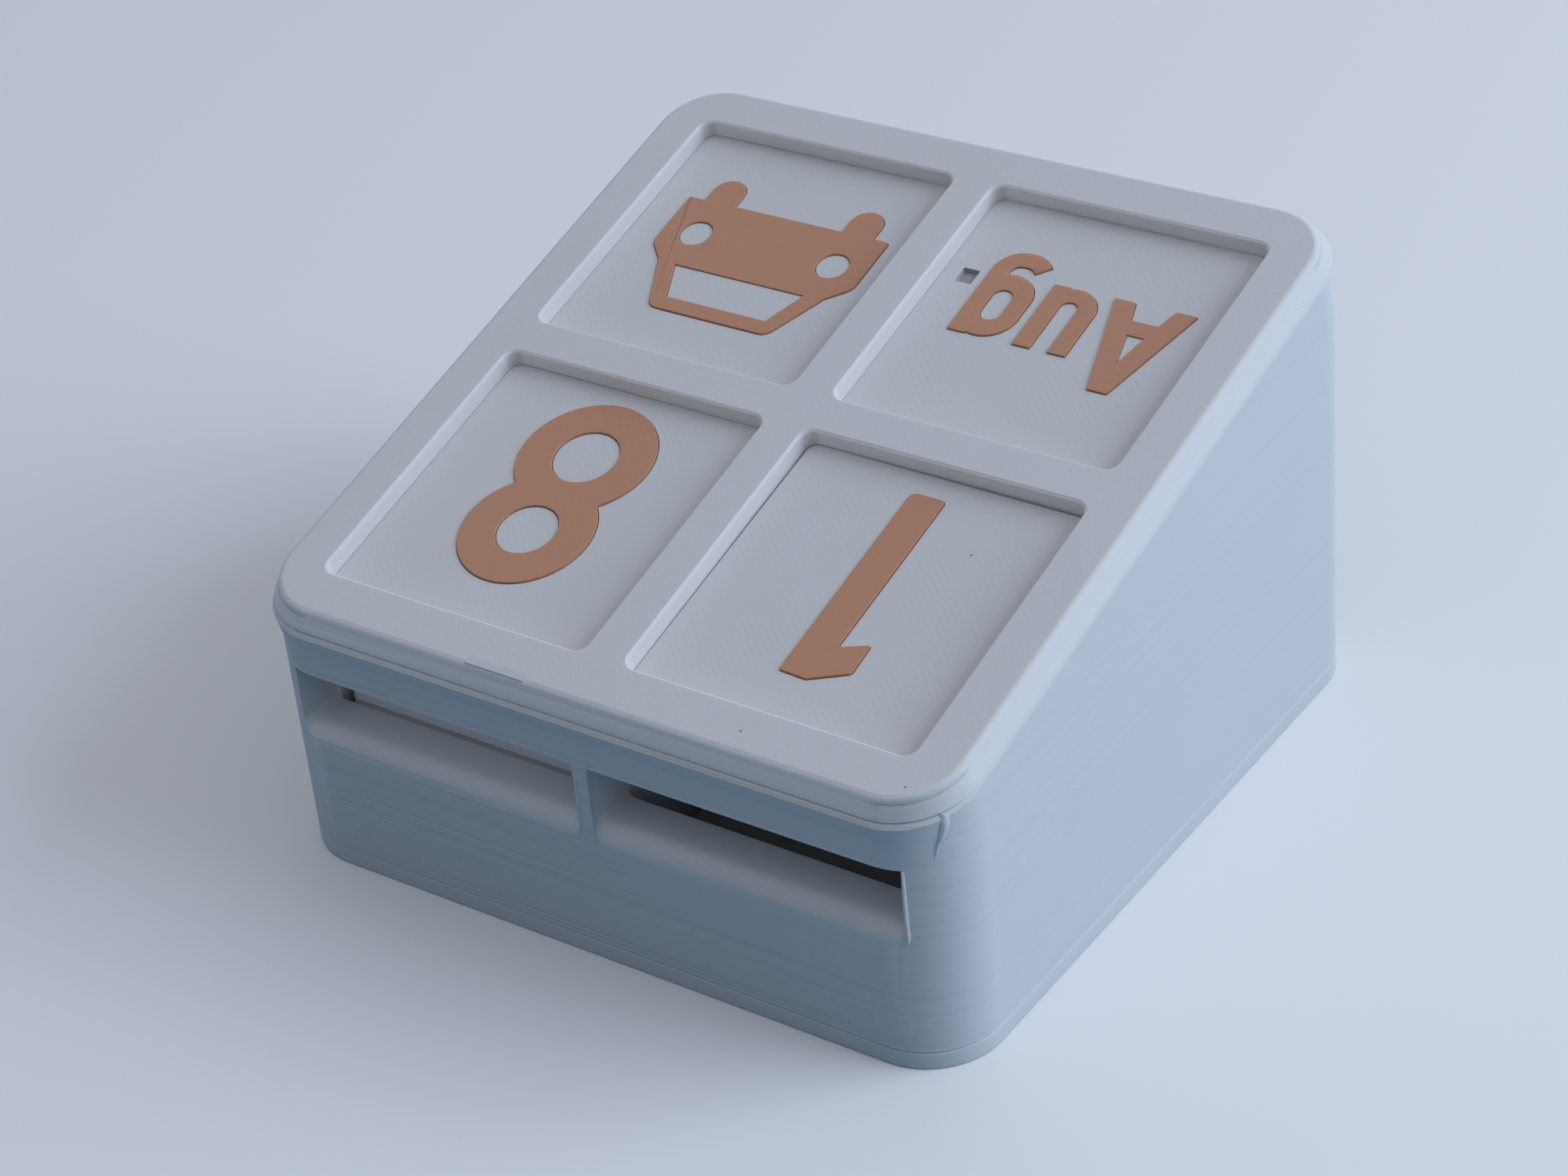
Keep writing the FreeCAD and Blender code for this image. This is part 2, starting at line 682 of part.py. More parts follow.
def shaft_tiles():
    """A full shaft on the left, and two tiles low in the right one, back side up."""
    low_count = int(number("sizes.low_tiles"))
    stack_count = int(number("sizes.stack"))
    for level in range(low_count):
        name = "left_low_%d_tile" % (level + 1)
        node(name, tile_plate(name, shaft_frame(-1, level)))
    for level in range(stack_count - 1):
        name = "left_shaft_%d_tile" % (level + 1)
        node(name, tile_plate(name, shaft_frame(-1, low_count + level)))
    top_name = "left_shaft_%d" % stack_count
    figure_tile(top_name, shaft_frame(-1, low_count + stack_count - 1), figure_four())
    right_count = int(number("sizes.right_tiles"))
    for level in range(right_count - 1):
        name = "right_low_%d_tile" % (level + 1)
        node(name, tile_plate(name, shaft_frame(1, level)))
    node("right_shaft_1_tile", tile_plate("right_shaft_1_tile", shaft_frame(1, right_count - 1)))


def drawer_tiles():
    """A row of spare tiles on edge, packed against the drawer's back."""
    back = number("derived.width / 2 - sizes.bay_wall - sizes.drawer_back_gap - sizes.drawer_floor")
    floor = number("derived.bay_end - sizes.drawer_gap - sizes.drawer_floor - sizes.drawer_play / 2")
    y = floor - number("sizes.tile_length / 2")
    z = number("sizes.cover_thick + sizes.drawer_gap + sizes.drawer_wall + sizes.tile_width / 2")
    pitch = number("sizes.tile_thick + sizes.spare_slack")
    on_edge = Rotation(Vector(0, 1, 0), -90)
    for index in range(int(number("sizes.spare_tiles"))):
        name = "drawer_tile_%02d" % (index + 1)
        x = back - number("sizes.spare_slack") - index * pitch
        node(name, tile_plate(name, UPRIGHT.multiply(Placement(Vector(x, y, z), on_edge))))


def check_document():
    """Stop at the first object that failed, and at any sub-part that isn't sound."""
    for item in doc.Objects:
        bad = [state for state in item.State if state in ("Invalid", "Error")]
        if bad:
            raise RuntimeError("%s: %s" % (item.Name, ", ".join(bad)))
    for name, item in nodes.items():
        if item.Shape.isNull() or not item.Shape.isValid() or not item.Shape.Solids:
            raise RuntimeError("%s has no sound shape" % name)


housing()
front_frame()
back_cover()
drawer()
display_tiles()
shaft_tiles()
drawer_tiles()
doc.recompute()
check_document()

os.makedirs("parts", exist_ok=True)
for name, item in nodes.items():
    item.Shape.exportStep("parts/%s.step" % name)
    print("%-22s %d solid(s), %9.1f mm3" % (name, len(item.Shape.Solids), item.Shape.Volume))
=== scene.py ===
import json
import math
from functools import partial

import bmesh
import bpy
from mathutils import Euler, Matrix, Vector


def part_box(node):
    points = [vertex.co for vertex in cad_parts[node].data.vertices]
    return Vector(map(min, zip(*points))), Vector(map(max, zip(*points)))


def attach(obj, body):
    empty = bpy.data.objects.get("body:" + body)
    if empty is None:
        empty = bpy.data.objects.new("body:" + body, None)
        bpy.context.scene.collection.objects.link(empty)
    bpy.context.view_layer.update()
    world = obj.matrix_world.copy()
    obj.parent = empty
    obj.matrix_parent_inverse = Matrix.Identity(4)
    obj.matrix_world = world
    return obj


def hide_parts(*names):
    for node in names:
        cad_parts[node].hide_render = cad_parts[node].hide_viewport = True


# A printed tile calendar that lies on its back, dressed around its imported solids.
# Blender's lengths are metres, so sizes written in millimetres are multiplied by mm.

mm = 0.001
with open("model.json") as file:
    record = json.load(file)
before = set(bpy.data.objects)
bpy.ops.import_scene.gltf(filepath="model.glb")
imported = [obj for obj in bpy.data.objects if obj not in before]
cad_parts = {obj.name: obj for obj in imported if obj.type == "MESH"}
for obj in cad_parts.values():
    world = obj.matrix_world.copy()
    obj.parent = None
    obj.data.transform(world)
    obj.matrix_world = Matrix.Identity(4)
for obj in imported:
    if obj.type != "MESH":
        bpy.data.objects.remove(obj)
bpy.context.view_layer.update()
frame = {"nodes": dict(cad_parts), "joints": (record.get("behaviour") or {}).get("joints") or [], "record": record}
nodes = frame["nodes"]
bodies = {name: body for body, names in frame["record"]["behaviour"]["bodies"].items() for name in names}
print("loaded", len(nodes), "nodes")


def deselectAll():
    if bpy.context.object and bpy.context.object.mode != "OBJECT":
        bpy.ops.object.mode_set(mode="OBJECT")
    bpy.ops.object.select_all(action="DESELECT")


def makeActive(piece):
    deselectAll()
    piece.select_set(True)
    bpy.context.view_layer.objects.active = piece


def addObject(name, data):
    piece = bpy.data.objects.new(name, data)
    bpy.context.scene.collection.objects.link(piece)
    return piece


# the front's own directions: across, up the slope, and straight off the surface
lift = next(joint for joint in frame["joints"] if joint["name"] == "tens_lift")
offFront = Vector(lift["axis"]).normalized()
across = Vector((1, 0, 0))
upFront = offFront.cross(across)


def fromFront(x, y, z):
    # the matrix whose three columns are these directions
    return Matrix((x, y, z)).transposed().to_4x4()


def frontBox(middle, size):
    # a box square to the front, with its size in mm
    deselectAll()
    bpy.ops.mesh.primitive_cube_add(size=1)
    box = bpy.context.object
    stretch = Matrix.Diagonal((*[side * mm for side in size], 1))
    box.data.transform(Matrix.Translation(middle) @ fromFront(across, upFront, offFront) @ stretch)
    return box


# nodes of a shader tree, where a value is a number or another node's output

def feed(tree, socket, value):
    if isinstance(value, (int, float)):
        socket.default_value = value
    else:
        tree.links.new(value, socket)


def mathNode(tree, operation, *values, clamp=False):
    node = tree.nodes.new("ShaderNodeMath")
    node.operation = operation
    node.use_clamp = clamp
    for socket, value in zip(node.inputs, values):
        feed(tree, socket, value)
    return node.outputs[0]


def dotNode(tree, first, second):
    node = tree.nodes.new("ShaderNodeVectorMath")
    node.operation = "DOT_PRODUCT"
    feed(tree, node.inputs[0], first)
    feed(tree, node.inputs[1], second)
    return node.outputs["Value"]


def noiseNode(tree, vector, scale, detail, roughness):
    node = tree.nodes.new("ShaderNodeTexNoise")
    for label, value in (("Vector", vector), ("Scale", scale), ("Detail", detail), ("Roughness", roughness)):
        feed(tree, node.inputs[label], value)
    return node.outputs["Fac"]


def combineNode(tree, *values):
    node = tree.nodes.new("ShaderNodeCombineXYZ")
    for socket, value in zip(node.inputs, values):
        feed(tree, socket, value)
    return node.outputs["Vector"]


def splitNode(tree, vector):
    node = tree.nodes.new("ShaderNodeSeparateXYZ")
    feed(tree, node.inputs["Vector"], vector)
    return node.outputs


def mixColours(tree, mask, under, over):
    # a colour here is a tuple or another node's output
    node = tree.nodes.new("ShaderNodeMix")
    node.data_type = "RGBA"
    feed(tree, node.inputs["Factor"], mask)
    for label, colour in (("A", under), ("B", over)):
        if isinstance(colour, tuple):
            node.inputs[label].default_value = (*colour, 1)
        else:
            feed(tree, node.inputs[label], colour)
    return node.outputs["Result"]


def newGroup(name, inputs, outputs):
    group = bpy.data.node_groups.new(name, "ShaderNodeTree")
    for label, kind, value in inputs:
        socket = group.interface.new_socket(name=label, in_out="INPUT", socket_type=kind)
        socket.default_value = value
    for label in outputs:
        group.interface.new_socket(name=label, in_out="OUTPUT", socket_type="NodeSocketFloat")
    return group, group.nodes.new("NodeGroupInput"), group.nodes.new("NodeGroupOutput")


def newMaterial(name):
    material = bpy.data.materials.new(name)
    material.use_nodes = True
    tree = material.node_tree
    return material, tree, next(node for node in tree.nodes if node.type == "BSDF_PRINCIPLED")


# how the printed surface is drawn: a noise is its scale, detail and roughness, a share is what it adds to
# a sum, a pace is steps per layer or line, and from and gain are where a mask starts and how fast it rises
layerValues = {
    "layerHeight": 0.2 * mm,
    "faceFrom": 0.72,
    "faceGain": 5.0,
    "ridgeShare": 0.12,
    "streakStretch": 12.0,
    "streakNoise": (0.9, 3.0, 0.65),
    "streakShare": 0.95,
    "broadPace": 0.16,
    "broadNoise": (1.0, 2.0, 0.5),
    "broadShare": 0.5,
    "deepStretch": 9.0,
    "deepPace": 0.31,
    "deepNoise": (1.0, 0.0, 0.5),
    "deepFrom": 0.6,
    "deepGain": 8.0,
    "deepShare": 0.55,
    "deepGroovePaintedShade": 0.2,
    "nearLayers": 1.9,
    "sideLayers": 0.3,
    "layerDepth": 0.6,
    "litGain": -2.5,
}
lineValues = {
    "lineSpacing": 0.4 * mm,
    "weaveShare": 0.28,
    "pairShare": 0.22,
    "brokenStretch": 260.0,
    "brokenNoise": (1.0, 2.0, 0.6),
    "brokenShare": 0.8,
    "patchNoise": (70.0, 2.0, 0.5),
    "patchFrom": 0.36,
    "patchGain": 3.2,
    "lineDepth": 0.26,
}
grainValues = {
    "grainNoise": (2600.0, 3.0, 0.6),
    "grainDepth": 0.2,
    "grainTone": 0.3,
    "cloudNoise": (55.0, 3.0, 0.55),
    "cloudTone": 0.7,
    "cloudGloss": 0.5,
    "streakGloss": 0.5,
}


def buildPrintGroup(layers, lines, grains):
    # layer edges on walls, filament lines on faces square to the build direction, and grain on both
    group, given, out = newGroup(
        "printedSurface",
        [
            ("Position", "NodeSocketVector", (0, 0, 0)),
            ("Normal", "NodeSocketVector", (0, 0, 1)),
            ("Build", "NodeSocketVector", (0, 0, 1)),
            ("Line", "NodeSocketVector", (0.7071, 0.7071, 0)),
            ("Along", "NodeSocketVector", (0.7071, -0.7071, 0)),
            ("Line Share", "NodeSocketFloat", 1.0),
            ("Grain Share", "NodeSocketFloat", 1.0),
        ],
        ("Height", "Shade", "Gloss", "Wall"),
    )
    plus, minus, times, over, timesPlus, sine, unsigned = (
        partial(mathNode, group, operation)
        for operation in ("ADD", "SUBTRACT", "MULTIPLY", "DIVIDE", "MULTIPLY_ADD", "SINE", "ABSOLUTE")
    )
    noise, vector, dot = (partial(maker, group) for maker in (noiseNode, combineNode, dotNode))
    position, normal, build = (given.outputs[label] for label in ("Position", "Normal", "Build"))
    sideways = vector(1.0, 0.0, 0.0)
    face = times(minus(unsigned(dot(normal, build)), layers["faceFrom"]), layers["faceGain"], clamp=True)
    wall = minus(1.0, face)
    span = dot(position, given.outputs["Line"])
    reach = dot(position, given.outputs["Along"])

    # walls: each layer stands out a little more or less than the last
    layer = over(dot(position, build), layers["layerHeight"])
    ridge = sine(times(layer, 2 * math.pi))
    stretch = layers["streakStretch"]
    streak = noise(vector(times(span, stretch), times(reach, stretch), layer), *layers["streakNoise"])
    broad = noise(vector(0.0, 0.0, times(layer, layers["broadPace"])), *layers["broadNoise"])
    steps = plus(times(ridge, layers["ridgeShare"]), times(streak, layers["streakShare"]))
    steps = plus(steps, times(broad, layers["broadShare"]))
    stretch = layers["deepStretch"]
    place = vector(times(span, stretch), times(reach, stretch), times(layer, layers["deepPace"]))
    deep = minus(noise(place, *layers["deepNoise"]), layers["deepFrom"])
    deep = times(deep, layers["deepGain"], clamp=True)
    steps = minus(steps, times(deep, layers["deepShare"]))
    aside = unsigned(dot(normal, sideways))
    steps = times(steps, timesPlus(aside, layers["sideLayers"] - layers["nearLayers"], layers["nearLayers"]))

    # faces: filament laid side by side in pairs, breaking up along its length
    line = over(span, lines["lineSpacing"])
    weave = sine(times(line, 2 * math.pi))
    pair = sine(times(line, math.pi))
    broken = noise(vector(times(reach, lines["brokenStretch"]), line, 0.0), *lines["brokenNoise"])
    threads = plus(times(weave, lines["weaveShare"]), times(pair, lines["pairShare"]))
    threads = plus(threads, times(broken, lines["brokenShare"]))
    patches = minus(noise(position, *lines["patchNoise"]), lines["patchFrom"])
    patches = times(patches, lines["patchGain"], clamp=True)
    threads = times(times(threads, patches), given.outputs["Line Share"])

    grain = times(noise(position, *grains["grainNoise"]), given.outputs["Grain Share"])
    cloud = noise(position, *grains["cloudNoise"])
    height = times(times(steps, wall), layers["layerDepth"])
    height = plus(height, times(times(threads, face), lines["lineDepth"]))
    height = plus(height, times(grain, grains["grainDepth"]))
    shade = plus(times(cloud, grains["cloudTone"]), times(grain, grains["grainTone"]))
    # the deeper layers are also painted darker: painted shade in their grooves
    shade = minus(shade, times(times(deep, wall), layers["deepGroovePaintedShade"]))
    gloss = plus(times(streak, grains["streakGloss"]), times(cloud, grains["cloudGloss"]))
    # the last output marks the walls that turn from the lamp, where the frame gets painted light
    unlit = times(wall, timesPlus(dot(normal, sideways), layers["litGain"], 1.0, clamp=True))
    for label, value in (("Height", height), ("Shade", shade), ("Gloss", gloss), ("Wall", unlit)):
        group.links.new(value, out.inputs[label])
    return group


# the mouths and shafts, in mm, where painted light and painted shade go on the inside surfaces, with the slow fade
# at their mouths and the quick one elsewhere
insideValues = {
    "low": (-44.2, -49.9, 5.0),
    "high": (44.2, -1.0, 28.6),
    "mouthFade": 1.5,
    "fade": 0.25,
}


def buildInsidePaintedLightShadeGroup(values):
    group, given, out = newGroup("insidePaintedLightShadeMask", [("Position", "NodeSocketVector", (0, 0, 0))], ("Mask",))
    minus, times, over = (partial(mathNode, group, kind) for kind in ("SUBTRACT", "MULTIPLY", "DIVIDE"))
    parts = splitNode(group, given.outputs["Position"])
    mask = 1.0
    for axis, low, high in zip("XYZ", values["low"], values["high"]):
        place = over(parts[axis], mm)
        lowFade = values["mouthFade"] if axis == "Y" else values["fade"]
        for edge, fade in ((low, lowFade), (high, -values["fade"])):
            mask = times(times(minus(place, edge), 1 / fade, clamp=True), mask)
    group.links.new(mask, out.inputs["Mask"])
    return group


printGroup = buildPrintGroup(layerValues, lineValues, grainValues)
insidePaintedLightShadeGroup = buildInsidePaintedLightShadeGroup(insideValues)

# finishes

printValues = {
    "toneSpread": 0.045,
    "toneRange": (0.25, 0.75),
    "roughness": 0.58,
    "roughnessSpread": 0.18,
    "specular": 0.35,
    "bumpDistance": 0.06 * mm,
    "subsurface": 0.3,
    "subsurfaceReach": 1.5 * mm,
}
colours = {
    "white": (0.70, 0.685, 0.66),
    "figure": (0.582, 0.287, 0.168),
    # painted shade in the full stop's pocket
    "dot": (0.42, 0.42, 0.42),
    "speck": (0.12, 0.13, 0.15),
    # painted light: the housing's mouths and shafts drawn lighter and warmer than its white
    "inside": (0.79, 0.76, 0.735),
    # painted light on the tiles stacked in the left shaft
    "stackedPaintedLight": (0.87, 0.82, 0.79),
    # painted shade: dark brown on the tile deep in the right shaft
    "darkInside": (0.50, 0.40, 0.33),
    # painted light on the frame's walls that turn from the lamp
    "frameWallPaintedLight": (0.86, 0.81, 0.775),
}


def groupNode(tree, group, coordinates):
    node = tree.nodes.new("ShaderNodeGroup")
    node.node_tree = group
    tree.links.new(coordinates.outputs["Object"], node.inputs["Position"])
    return node


def printedMaterial(name, colourName, ways, lineShare=1.0, grainShare=1.0, inside=None, walls=None):
    # ways are the build direction and the direction that the filament lines follow each other in
    material, tree, shader = newMaterial(name)
    colour = colours[colourName]
    coordinates = tree.nodes.new("ShaderNodeTexCoord")
    surface = groupNode(tree, printGroup, coordinates)
    build, line = (Vector(way).normalized() for way in ways)
    surface.inputs["Build"].default_value = build
    surface.inputs["Line"].default_value = line
    surface.inputs["Along"].default_value = build.cross(line)
    surface.inputs["Line Share"].default_value = lineShare
    surface.inputs["Grain Share"].default_value = grainShare
    tree.links.new(coordinates.outputs["Normal"], surface.inputs["Normal"])

    ramp = tree.nodes.new("ShaderNodeValToRGB")
    for stop, place, share in zip(
        ramp.color_ramp.elements, printValues["toneRange"], (1 - printValues["toneSpread"], 1)
    ):
        stop.position = place
        stop.color = [channel * share for channel in colour] + [1]
    tree.links.new(surface.outputs["Shade"], ramp.inputs["Fac"])
    shown = ramp.outputs["Color"]
    # inside the mouths and shafts the inside colour is painted over the print: painted light where it is lighter,
    # painted shade where it is darker
    if inside:
        masked = groupNode(tree, insidePaintedLightShadeGroup, coordinates)
        shown = mixColours(tree, masked.outputs["Mask"], shown, colours[inside])
    # walls that turn from the lamp get painted light in the walls colour
    if walls:
        shown = mixColours(tree, surface.outputs["Wall"], shown, colours[walls])
    tree.links.new(shown, shader.inputs["Base Color"])

    spread = printValues["roughnessSpread"]
    least = printValues["roughness"] - spread / 2
    rough = mathNode(tree, "MULTIPLY_ADD", surface.outputs["Gloss"], spread, least)
    tree.links.new(rough, shader.inputs["Roughness"])
    bump = tree.nodes.new("ShaderNodeBump")
    bump.inputs["Strength"].default_value = 1.0
    bump.inputs["Distance"].default_value = printValues["bumpDistance"]
    tree.links.new(surface.outputs["Height"], bump.inputs["Height"])
    tree.links.new(bump.outputs["Normal"], shader.inputs["Normal"])
    shader.inputs["Specular IOR Level"].default_value = printValues["specular"]
    shader.inputs["Subsurface Weight"].default_value = printValues["subsurface"]
    shader.inputs["Subsurface Radius"].default_value = colour
    shader.inputs["Subsurface Scale"].default_value = printValues["subsurfaceReach"]
    return material


upright = ((0, 0, 1), (1, 1, 0))
onFront = (offFront, across + upFront)
onEdge = ((1, 0, 0), (0, 1, 1))
finishes = {
    # the housing gets painted light inside its mouths and shafts
    "housing": printedMaterial("whiteShell", "white", upright, inside="inside"),
    # the frame gets painted light on its walls that turn from the lamp
    "frame": printedMaterial(
        "whiteFrame", "white", onFront, lineShare=0.2, grainShare=2.6, walls="frameWallPaintedLight"
    ),
    "shownTile": printedMaterial("whiteTile", "white", onFront),
    "shownFigure": printedMaterial("terracottaFigure", "figure", onFront, lineShare=0.6),
    # the stacked tiles get painted light inside the shaft
    "stackedTile": printedMaterial("whiteStackedTile", "white", upright, inside="stackedPaintedLight"),
    # the right shaft's tile gets painted shade inside the shaft
    "shadedTile": printedMaterial("whiteShadedTile", "white", upright, inside="darkInside"),
    "stackedFigure": printedMaterial("terracottaStackedFigure", "figure", upright, lineShare=0.6),
    "cardTile": printedMaterial("whiteCardTile", "white", onEdge),
    "strand": printedMaterial("whiteStrand", "white", upright, lineShare=0.0),
    # painted shade for the inside of the full stop's pocket
    "dot": printedMaterial("dotPocketPaintedShade", "dot", onFront),
    "speck": printedMaterial("greySpeck", "speck", upright, lineShare=0.0),
}
print("made", len(finishes), "finishes")


def finishOf(name):
    if name in ("housing", "back_cover", "drawer"):
        return finishes["housing"]
    if name == "front_frame":
        return finishes["frame"]
    if name.startswith("drawer_tile"):
        return finishes["cardTile"]
    if name.startswith("right_"):
        return finishes["shadedTile"]
    stacked = "shaft" in name or "_low_" in name
    if name.endswith("_inlay"):
        return finishes["stackedFigure" if stacked else "shownFigure"]
    return finishes["stackedTile" if stacked else "shownTile"]


def putFinish(piece, material):
    piece.data.materials.clear()
    piece.data.materials.append(material)


# printed pieces with their edges rounded by the nozzle, in mm and degrees

edgeValues = {
    "housing": 0.2,
    "front_frame": 0.15,
    "back_cover": 0.12,
    "drawer": 0.2,
    "tile": 0.05,
    "inlay": 0.1,
    "segments": 2,
    "sharpAngle": 28,
    "smoothAngle": 50,
    "weld": 0.002,
    "flatAngle": 0.5,
}
grooveValues = {
    "gap": 0.12,
    "raisedShare": 0.7,
    "aside": 0.06,
    "up": 0.05,
}
swellValues = {
    "swell": 0.07,
    "corner": 1.5,
    "rimShare": 0.9,
}
# the front frame's outer contour: its corners' middles, their radius, and levels under the top
rimValues = {
    "cornerAside": 40.45,
    "cornerAlong": 42.35,
    "radius": 8.0,
    "band": 0.5,
    "lip": 0.9,
    "foot": 2.55,
    "footSlack": 0.05,
    "slack": 0.03,
    "flare": 0.45,
    "undercut": 0.3,
    "weld": 0.01,
    "turn": 0.5,
    "round": 0.5,
    "segments": 4,
}


def applyModifier(piece, name, kind, **settings):
    modifier = piece.modifiers.new(name, kind)
    for setting, value in settings.items():
        setattr(modifier, setting, value)
    makeActive(piece)
    bpy.ops.object.modifier_apply(modifier=modifier.name)


def smoothByAngle():
    bpy.ops.object.shade_smooth_by_angle(angle=math.radians(edgeValues["smoothAngle"]))


def roundEdges(piece, width):
    applyModifier(
        piece, "nozzleRound", "BEVEL", width=width * mm, segments=edgeValues["segments"],
        limit_method="ANGLE", angle_limit=math.radians(edgeValues["sharpAngle"]),
    )
    smoothByAngle()
    applyModifier(piece, "flatFaces", "WEIGHTED_NORMAL", keep_sharp=True)


def openGroove(piece):
    # the figure shrinks a little from its pocket's walls and nearly keeps its height
    gap = grooveValues["gap"] * mm
    applyModifier(piece, "groove", "DISPLACE", strength=-gap, mid_level=0.0)
    up = Vector((0, 0, 1)) if "shaft" in piece.name else offFront
    settle = upFront * grooveValues["up"] * mm - across * grooveValues["aside"] * mm
    piece.data.transform(Matrix.Translation(up * gap * grooveValues["raisedShare"] + settle))


def roundRim(piece, values):
    # the rim runs out into the flare, and the outer edge of its top is rounder than the other edges
    form = bmesh.new()
    form.from_mesh(piece.data)
    slack = values["slack"] * mm
    top = max(vertex.co.dot(offFront) for vertex in form.verts)
    rows = [vertex.co.dot(upFront) for vertex in form.verts if vertex.co.dot(offFront) > top - slack]
    middle = (min(rows) + max(rows)) / 2
    aside, along = values["cornerAside"] * mm, values["cornerAlong"] * mm
    radius, lip, foot = (values[key] * mm for key in ("radius", "lip", "foot"))
    spread = (values["flare"] + values["undercut"]) * mm
    outer = set()
    for vertex in form.verts:
        x, row = vertex.co.x, vertex.co.dot(upFront) - middle
        away = Vector((x - min(max(x, -aside), aside), row - min(max(row, -along), along), 0))
        down = top - vertex.co.dot(offFront)
        if away.length < radius - values["band"] * mm:
            continue
        outer.add(vertex)
        if abs(down - lip) < slack:
            push = radius + values["flare"] * mm - away.length
        elif lip < down < foot - values["footSlack"] * mm:
            push = spread * (foot - down) / (foot - lip)
        else:
            continue
        vertex.co += (across * away.x + upFront * away.y).normalized() * push
    bmesh.ops.remove_doubles(form, verts=form.verts, dist=values["weld"] * mm)
    outer = {vertex for vertex in form.verts if vertex in outer and vertex.is_valid}
    weights = form.edges.layers.float.new("bevel_weight_edge")
    for edge in form.edges:
        level = all(vertex.co.dot(offFront) > top - slack for vertex in edge.verts)
        level = level and all(vertex in outer for vertex in edge.verts)
        edge[weights] = 1.0 if level and edge.calc_face_angle() > values["turn"] else 0.0
    form.to_mesh(piece.data)
    form.free()
    applyModifier(
        piece, "rim", "BEVEL", width=values["round"] * mm, segments=values["segments"],
        limit_method="WEIGHT", use_clamp_overlap=False,
    )


def swellTile(piece, values):
    # a tile that rests snug against its window's walls shows no gap there, and its corners stay clear
    places = [(vertex.co.x, vertex.co.dot(upFront)) for vertex in piece.data.vertices]
    corner = values["corner"] * mm
    lows = [min(place[axis] for place in places) + corner for axis in (0, 1)]
    highs = [max(place[axis] for place in places) - corner for axis in (0, 1)]
    for vertex, place in zip(piece.data.vertices, places):
        away = Vector([place[axis] - min(max(place[axis], lows[axis]), highs[axis]) for axis in (0, 1)])
        if away.length > values["rimShare"] * corner:
            away.normalize()
            vertex.co += (across * away.x**3 + upFront * away.y**3) * values["swell"] * mm


def editMesh(piece, *steps):
    # each step is an operator and its settings, run on the whole mesh
    makeActive(piece)
    bpy.ops.object.mode_set(mode="EDIT")
    bpy.ops.mesh.select_all(action="SELECT")
    for operator, settings in steps:
        operator(**settings)
    bpy.ops.object.mode_set(mode="OBJECT")


def softened(name, width, cutter=None):
    piece = addObject(name + "_printed", nodes[name].data.copy())
    editMesh(
        piece,
        (bpy.ops.mesh.remove_doubles, {"threshold": edgeValues["weld"] * mm}),
        (bpy.ops.mesh.dissolve_limited, {"angle_limit": math.radians(edgeValues["flatAngle"])}),
    )
    if cutter is not None:
        applyModifier(piece, "letterPocket", "BOOLEAN", object=cutter, operation="DIFFERENCE", solver="EXACT")
    if name.endswith("_inlay"):
        openGroove(piece)
    if name == "front_frame":
        roundRim(piece, rimValues)
    if name in ("units_tile", "symbol_tile", "month_tile"):
        swellTile(piece, swellValues)
    roundEdges(piece, width)
    putFinish(piece, finishOf(name))
    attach(piece, bodies[name])
    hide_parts(name)
    return piece


def edgeWidth(name):
    if name in edgeValues:
        return edgeValues[name]
    return edgeValues["inlay" if name.endswith("_inlay") else "tile"]


# month letters, let into the month tile, and the empty pocket for their full stop

monthValues = {
    "tileThick": 2.4,
    "sunk": 0.8,
    "proud": 0.2,
    "cutAbove": 1.0,
    "arcSteps": 12,
    "dotPlace": (16.0, -6.0),
    "dotSize": (2.1, 2.6),
    "dotDeep": 0.7,
    "dotDepthSeen": 0.03,
    "dotMargin": 1.2,
    "dotReach": 2.0,
}
# contours in mm as they read, from the tile's middle
# a pair of pairs is an arc through the first point to the second
monthLetters = [
    [(-15.9, -7.9), (-12.9, -7.9), (-12.0, -4.9), (-8.2, -4.9), (-7.3, -7.9), (-4.3, -7.9), (-8.7, 7.7),
     (-11.5, 7.7)],
    [(-11.3, -2.4), (-8.9, -2.4), (-10.1, 2.6)],
    [(-3.4, 3.5), (-3.4, -3.9), ((-1.9, -7.1), (1.6, -7.7)), (1.6, -7.9), (4.2, -7.9), (4.2, 3.5), (1.6, 3.5),
     (1.6, -3.9), ((0.4, -5.4), (-0.8, -3.9)), (-0.8, 3.5)],
    [(13.5, 3.5), (13.5, -8.0), ((12.4, -10.9), (9.5, -12.0)), ((7.0, -11.4), (5.9, -10.3)), (7.6, -8.6),
     ((8.3, -9.2), (9.5, -9.4)), ((10.5, -9.0), (10.9, -8.0)), (10.9, -7.65), ((6.7, -6.7), (5.5, -3.9)),
     (5.5, -0.5), ((6.7, 2.3), (10.9, 3.25)), (10.9, 3.5)],
    [(8.1, -3.5), ((9.5, -4.9), (10.9, -3.5)), (10.9, -0.9), ((9.5, 0.5), (8.1, -0.9))],
]


def arcPoints(start, through, end, steps):
    ax, ay = start
    bx, by = through
    cx, cy = end
    double = 2 * (ax * (by - cy) + bx * (cy - ay) + cx * (ay - by))
    a2, b2, c2 = ax * ax + ay * ay, bx * bx + by * by, cx * cx + cy * cy
    centreX = (a2 * (by - cy) + b2 * (cy - ay) + c2 * (ay - by)) / double
    centreY = (a2 * (cx - bx) + b2 * (ax - cx) + c2 * (bx - ax)) / double
    radius = math.hypot(ax - centreX, ay - centreY)
    angles = [math.atan2(y - centreY, x - centreX) for x, y in (start, through, end)]
    turn = (angles[2] - angles[0]) % (2 * math.pi)
    if (angles[1] - angles[0]) % (2 * math.pi) > turn:
        turn -= 2 * math.pi
    steps = [angles[0] + turn * step / steps for step in range(1, steps + 1)]
    return [(centreX + radius * math.cos(angle), centreY + radius * math.sin(angle)) for angle in steps]


